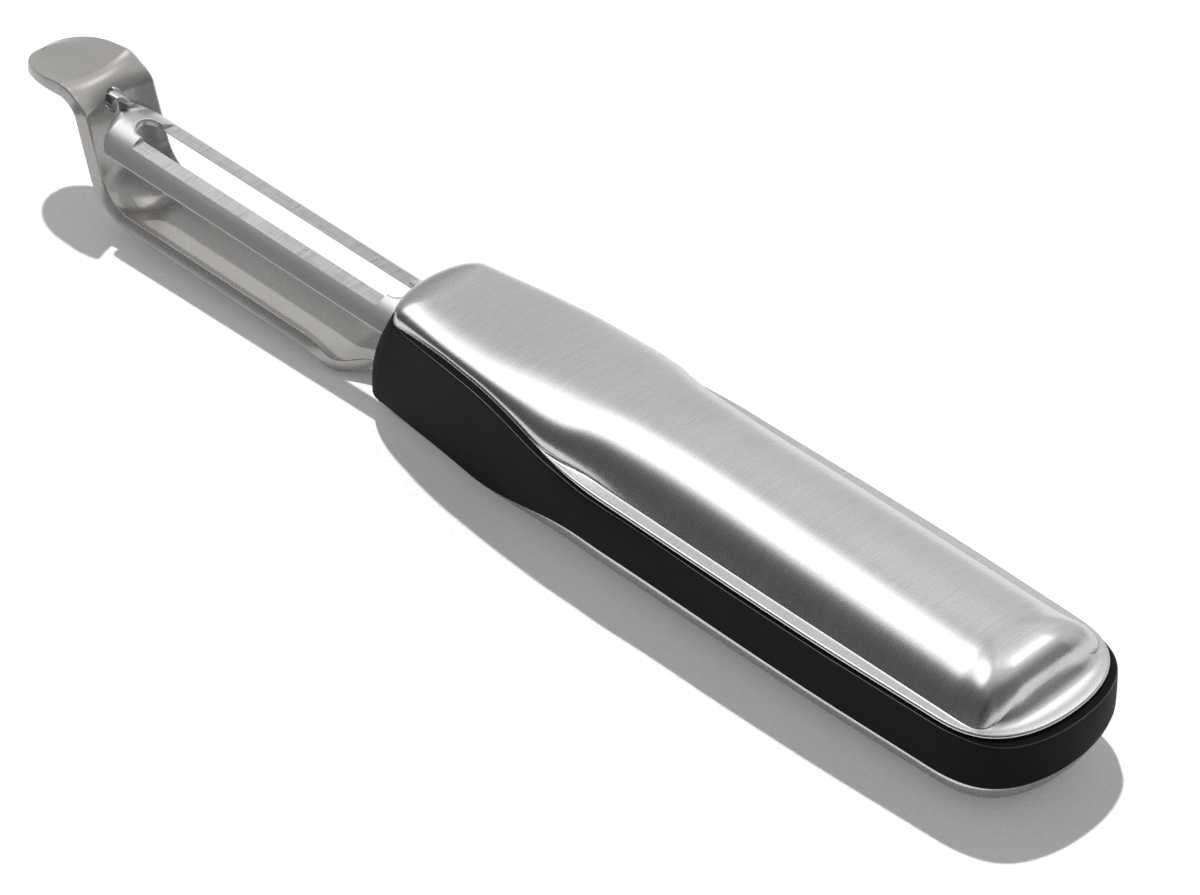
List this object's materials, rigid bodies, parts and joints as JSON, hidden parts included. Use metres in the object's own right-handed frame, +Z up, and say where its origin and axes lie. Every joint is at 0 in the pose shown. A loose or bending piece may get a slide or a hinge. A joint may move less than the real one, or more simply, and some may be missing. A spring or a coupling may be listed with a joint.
{
  "type": "vegetable peeler",
  "caption": "Straight vegetable peeler: swinging slotted arch blade in a looped steel head with a scooped tip, on a handle of pressed steel shells round a soft black grip band.",
  "frame": {"origin": "on the table below the middle of the tool's length, on its middle line", "axes": "+X from the scoop at the tip to the butt of the handle, +Y across, +Z up from the table that the tool lies on"},
  "size_m": [0.1975, 0.0284, 0.0218],
  "materials": {
    "frame_steel": "satin sheet steel, slightly warm and darker than the handle, ground edges",
    "blade_steel": "satin sheet steel with cross-ground strips beside the slot",
    "shell_steel": "fine satin brushed across the handle",
    "soft_black": "matt soft black",
    "core_plastic": "moulded black",
    "bush_plastic": "moulded off-white",
    "pin_steel": "turned steel"
  },
  "bodies": {
    "tool": {"head_frame": "frame_steel", "upper_shell": "shell_steel", "lower_shell": "shell_steel", "grip_band": "soft_black", "core_upper": "core_plastic", "core_lower": "core_plastic", "pivot_bush": "bush_plastic", "tang_pins": "pin_steel"},
    "blade": {"swivel_blade": "blade_steel"}
  },
  "joints": [
    {"name": "blade_swivel", "type": "hinge", "parent": "tool", "child": "blade", "pos_m": [-0.04892, 0, 0.01676], "axis": [0.9998, 0, -0.0218], "range_deg": [-40, 40]}
  ]
}
